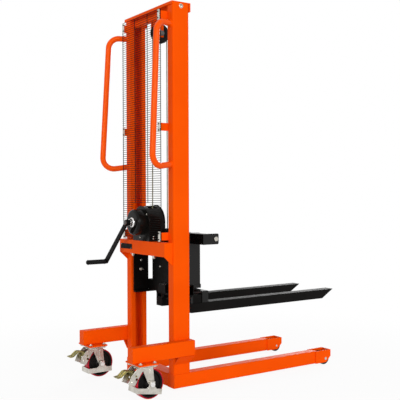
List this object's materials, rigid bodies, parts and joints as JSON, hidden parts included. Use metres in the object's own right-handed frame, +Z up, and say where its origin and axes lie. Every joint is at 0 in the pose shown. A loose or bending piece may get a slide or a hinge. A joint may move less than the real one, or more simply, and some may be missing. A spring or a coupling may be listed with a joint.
{
  "type": "hand pallet stacker",
  "caption": "Straddle stacker: twin masts on box legs, a fork carriage raised by a rope and hand-cranked geared winch, mesh guard, bent handles and braked swivel casters.",
  "frame": {"origin": "on the floor under the middle of the bounding box", "axes": "+X forward along the forks, +Y to the operator's left, +Z up"},
  "size_m": [1.523, 0.682, 1.98],
  "materials": {
    "orange_paint": "gloss powder coat",
    "black_paint": "satin powder coat",
    "black_rubber": "satin nylon",
    "red_tread": "satin polyurethane",
    "zinc": "bright zinc",
    "yellow_zinc": "yellow zinc",
    "steel": "machined",
    "chrome": "polished",
    "cast_black": "painted casting",
    "wire_rope": "galvanised strand",
    "grip_plastic": "satin plastic"
  },
  "bodies": {
    "frame": {"mast_left": "orange_paint", "leg_left": "orange_paint", "leg_yoke_left": "orange_paint", "outrigger_left": "orange_paint", "handle_left": "orange_paint", "mast_right": "orange_paint", "leg_right": "orange_paint", "leg_yoke_right": "orange_paint", "outrigger_right": "orange_paint", "handle_right": "orange_paint", "top_crossbeam": "orange_paint", "pulley_bracket": "orange_paint", "winch_crossbeam": "orange_paint", "base_crossbeam": "orange_paint", "guard_brackets": "orange_paint", "mesh_guard": "black_paint", "winch_frame": "black_paint", "winch_shroud": "black_paint", "gear_cover": "black_paint", "name_plate": "black_paint", "pulley_bolt": "zinc", "guard_clips": "zinc", "caster_top_plates": "zinc", "caster_bolts": "zinc", "load_roller_pins": "zinc", "hoist_rope": "wire_rope", "rope_front_fall": "wire_rope"},
    "carriage": {"carriage_plate_left": "black_paint", "carriage_plate_right": "black_paint", "rail_roller_pins": "steel", "carriage_rear_bar": "black_paint", "carriage_frame": "black_paint", "arm_bolts": "black_paint", "rope_anchor": "black_paint", "fork_left": "black_paint", "fork_right": "black_paint"},
    "sheave": {"sheave": "cast_black"},
    "drum": {"winch_drum": "steel", "rope_winding": "wire_rope"},
    "planet_1": {"planet_gear_1": "steel"},
    "planet_2": {"planet_gear_2": "steel"},
    "crank": {"crank_shaft": "chrome", "crank_arm": "black_paint"},
    "grip": {"crank_grip": "grip_plastic"},
    "caster_left": {"caster_fork_left": "zinc", "caster_axle_left": "zinc", "foot_guard_left": "zinc"},
    "wheel_left": {"caster_wheel_left": "red_tread"},
    "pedal_left": {"brake_pedal_left": "yellow_zinc"},
    "load_roller_left": {"load_roller_left": "black_rubber"},
    "rail_roller_lower_left": {"rail_roller_lower_left": "steel"},
    "rail_roller_upper_left": {"rail_roller_upper_left": "steel"},
    "caster_right": {"caster_fork_right": "zinc", "caster_axle_right": "zinc", "foot_guard_right": "zinc"},
    "wheel_right": {"caster_wheel_right": "red_tread"},
    "pedal_right": {"brake_pedal_right": "yellow_zinc"},
    "load_roller_right": {"load_roller_right": "black_rubber"},
    "rail_roller_lower_right": {"rail_roller_lower_right": "steel"},
    "rail_roller_upper_right": {"rail_roller_upper_right": "steel"}
  },
  "joints": [
    {"name": "carriage_lift", "type": "slide", "parent": "frame", "child": "carriage", "axis": [0, 0, 1], "range_m": [-0.337, 0.98], "deforming": ["rope_front_fall"]},
    {"name": "sheave_spin", "type": "hinge", "parent": "frame", "child": "sheave", "pos_m": [-0.3445, 0, 1.866], "axis": [0, 1, 0], "continuous": true},
    {"name": "drum_spin", "type": "hinge", "parent": "frame", "child": "drum", "pos_m": [-0.4165, 0, 0.854], "axis": [1, 0, 0], "continuous": true},
    {"name": "crank_spin", "type": "hinge", "parent": "frame", "child": "crank", "pos_m": [-0.5185, 0, 0.854], "axis": [1, 0, 0], "continuous": true},
    {"name": "planet_1_spin", "type": "hinge", "parent": "drum", "child": "planet_1", "pos_m": [-0.483, 0.036, 0.854], "axis": [1, 0, 0], "continuous": true},
    {"name": "planet_2_spin", "type": "hinge", "parent": "drum", "child": "planet_2", "pos_m": [-0.483, -0.036, 0.854], "axis": [1, 0, 0], "continuous": true},
    {"name": "grip_spin", "type": "hinge", "parent": "crank", "child": "grip", "pos_m": [-0.6111, 0.23696, 0.63303], "axis": [1, 0, 0], "continuous": true},
    {"name": "rail_roller_lower_left_spin", "type": "hinge", "parent": "carriage", "child": "rail_roller_lower_left", "pos_m": [-0.3685, 0.22, 0.508], "axis": [0, 1, 0], "continuous": true},
    {"name": "rail_roller_upper_left_spin", "type": "hinge", "parent": "carriage", "child": "rail_roller_upper_left", "pos_m": [-0.3685, 0.22, 0.758], "axis": [0, 1, 0], "continuous": true},
    {"name": "caster_swivel_left", "type": "hinge", "parent": "frame", "child": "caster_left", "pos_m": [-0.6175, 0.271, 0.167], "axis": [0, 0, 1], "continuous": true},
    {"name": "caster_wheel_left_spin", "type": "hinge", "parent": "caster_left", "child": "wheel_left", "pos_m": [-0.5845, 0.271, 0.076], "axis": [0, 1, 0], "continuous": true},
    {"name": "brake_pedal_left_tilt", "type": "hinge", "parent": "caster_left", "child": "pedal_left", "pos_m": [-0.6685, 0.271, 0.126], "axis": [0, 1, 0], "range_deg": [-6, 0]},
    {"name": "load_roller_left_spin", "type": "hinge", "parent": "frame", "child": "load_roller_left", "pos_m": [0.6235, 0.22, 0.036], "axis": [0, 1, 0], "continuous": true},
    {"name": "rail_roller_lower_right_spin", "type": "hinge", "parent": "carriage", "child": "rail_roller_lower_right", "pos_m": [-0.3685, -0.22, 0.508], "axis": [0, 1, 0], "continuous": true},
    {"name": "rail_roller_upper_right_spin", "type": "hinge", "parent": "carriage", "child": "rail_roller_upper_right", "pos_m": [-0.3685, -0.22, 0.758], "axis": [0, 1, 0], "continuous": true},
    {"name": "caster_swivel_right", "type": "hinge", "parent": "frame", "child": "caster_right", "pos_m": [-0.6175, -0.271, 0.167], "axis": [0, 0, 1], "continuous": true},
    {"name": "caster_wheel_right_spin", "type": "hinge", "parent": "caster_right", "child": "wheel_right", "pos_m": [-0.5845, -0.271, 0.076], "axis": [0, 1, 0], "continuous": true},
    {"name": "brake_pedal_right_tilt", "type": "hinge", "parent": "caster_right", "child": "pedal_right", "pos_m": [-0.6685, -0.271, 0.126], "axis": [0, 1, 0], "range_deg": [-6, 0]},
    {"name": "load_roller_right_spin", "type": "hinge", "parent": "frame", "child": "load_roller_right", "pos_m": [0.6235, -0.22, 0.036], "axis": [0, 1, 0], "continuous": true}
  ],
  "couplings": [
    {"joint": "sheave_spin", "follows": "carriage_lift", "rad_per_m": -22.727},
    {"joint": "drum_spin", "follows": "carriage_lift", "rad_per_m": 30.303},
    {"joint": "crank_spin", "follows": "carriage_lift", "rad_per_m": 121.21},
    {"joint": "planet_1_spin", "follows": "carriage_lift", "rad_per_m": -90.909},
    {"joint": "planet_2_spin", "follows": "carriage_lift", "rad_per_m": -90.909},
    {"joint": "rail_roller_upper_left_spin", "follows": "carriage_lift", "rad_per_m": 22.988},
    {"joint": "rail_roller_lower_left_spin", "follows": "carriage_lift", "rad_per_m": -22.988},
    {"joint": "rail_roller_upper_right_spin", "follows": "carriage_lift", "rad_per_m": 22.988},
    {"joint": "rail_roller_lower_right_spin", "follows": "carriage_lift", "rad_per_m": -22.988}
  ]
}
